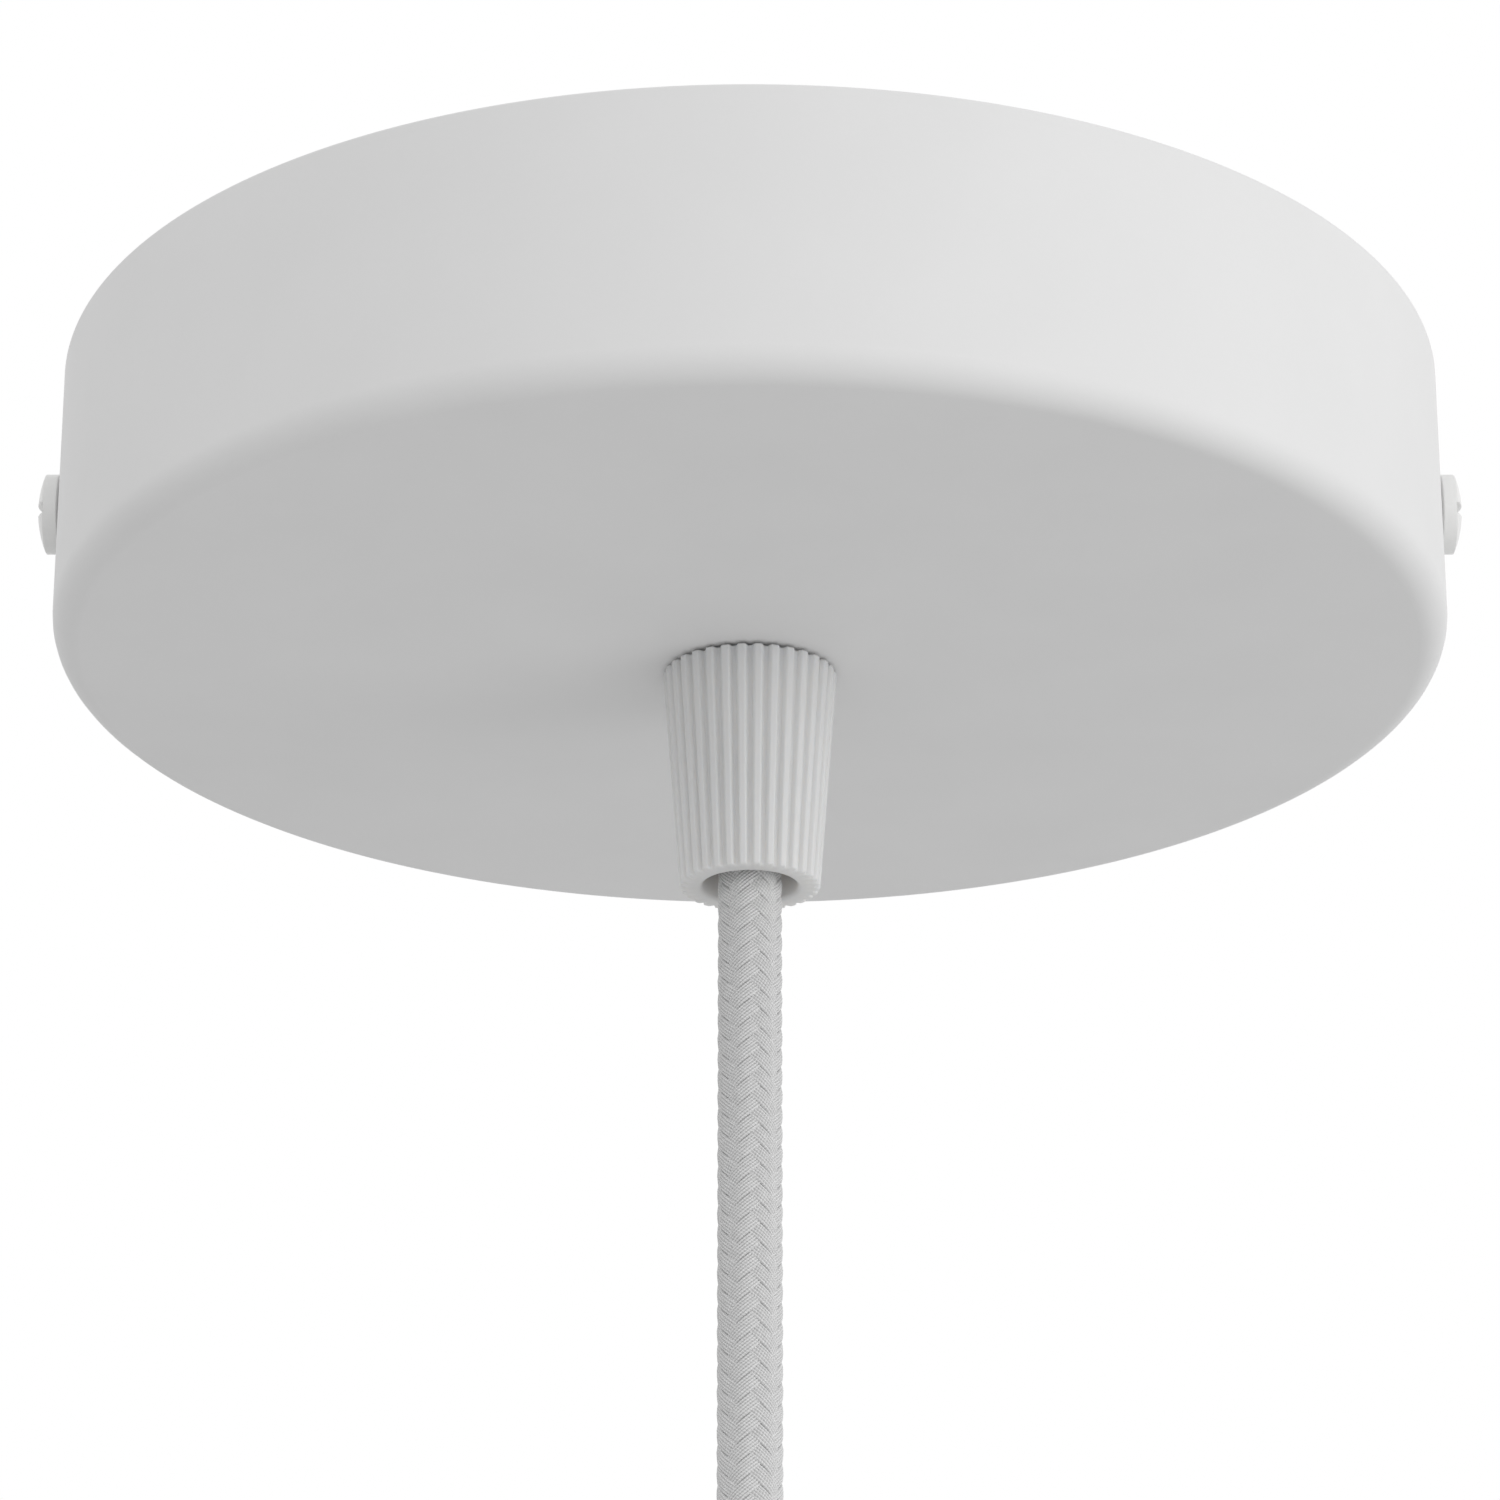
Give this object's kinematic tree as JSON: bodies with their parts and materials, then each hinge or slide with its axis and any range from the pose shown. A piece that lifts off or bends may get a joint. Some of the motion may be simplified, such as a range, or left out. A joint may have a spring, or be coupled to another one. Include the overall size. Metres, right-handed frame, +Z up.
{
  "type": "ceiling rose",
  "caption": "Round white metal ceiling rose with side screws, a fluted conical cord grip and a straight textile-braided pendant cable, wired to terminals inside.",
  "frame": {"origin": "middle of the ceiling plane, between the two fixing slots of the mounting bracket", "axes": "+Z up into the ceiling, +X along the bracket from the left to the right side screw, -Y towards the viewer"},
  "size_m": [0.1244, 0.12, 0.1186],
  "materials": {
    "white_coated_steel": "matt powder coat",
    "white_coated_screw": "satin paint",
    "galvanised_steel": "zinc coated",
    "zinc_plated_steel": "bright zinc",
    "white_nylon": "moulded, matt",
    "white_braid": "two over two braid",
    "white_sheath": "extruded",
    "shrink_sleeve": "shrunk tube",
    "brown_core": "extruded",
    "blue_core": "extruded",
    "green_yellow_core": "extruded, two colours",
    "copper": "bare strands",
    "tinned_copper": "tinned",
    "natural_polyamide": "moulded, slightly see-through",
    "brass": "turned"
  },
  "bodies": {
    "root": {"canopy": "white_coated_steel", "side_screw_left": "white_coated_screw", "side_screw_right": "white_coated_screw", "mounting_bracket": "galvanised_steel", "clamp_stem": "white_nylon", "stem_nut": "galvanised_steel", "stem_washer": "galvanised_steel", "pendant_cable": "white_braid", "upper_sheath": "white_sheath", "upper_sleeve": "shrink_sleeve", "lower_sheath": "white_sheath", "lower_sleeve": "shrink_sleeve", "live_core": "brown_core", "neutral_core": "blue_core", "earth_core": "green_yellow_core", "earth_link": "green_yellow_core", "conductor_ends": "copper", "live_core_end": "brown_core", "neutral_core_end": "blue_core", "earth_core_end": "green_yellow_core", "end_ferrules": "tinned_copper", "terminal_housing": "natural_polyamide", "terminal_tubes": "brass", "terminal_screws": "zinc_plated_steel", "terminal_fixing_screw": "zinc_plated_steel", "earth_ring_terminal": "tinned_copper", "earth_screw": "brass"},
    "claw": {"grip_claw": "white_nylon"},
    "cap": {"clamp_cap": "white_nylon"}
  },
  "joints": [
    {"name": "claw_travel", "type": "slide", "parent": "root", "child": "claw", "axis": [0, 0, 1], "range_m": [-0.002, 0]},
    {"name": "cap_turn", "type": "hinge", "parent": "claw", "child": "cap", "pos_m": [0, 0, -0.035], "axis": [0, 0, 1], "range_deg": [-720, 0]}
  ],
  "couplings": [
    {"joint": "cap_turn", "follows": "claw_travel", "rad_per_m": 6283.2}
  ]
}
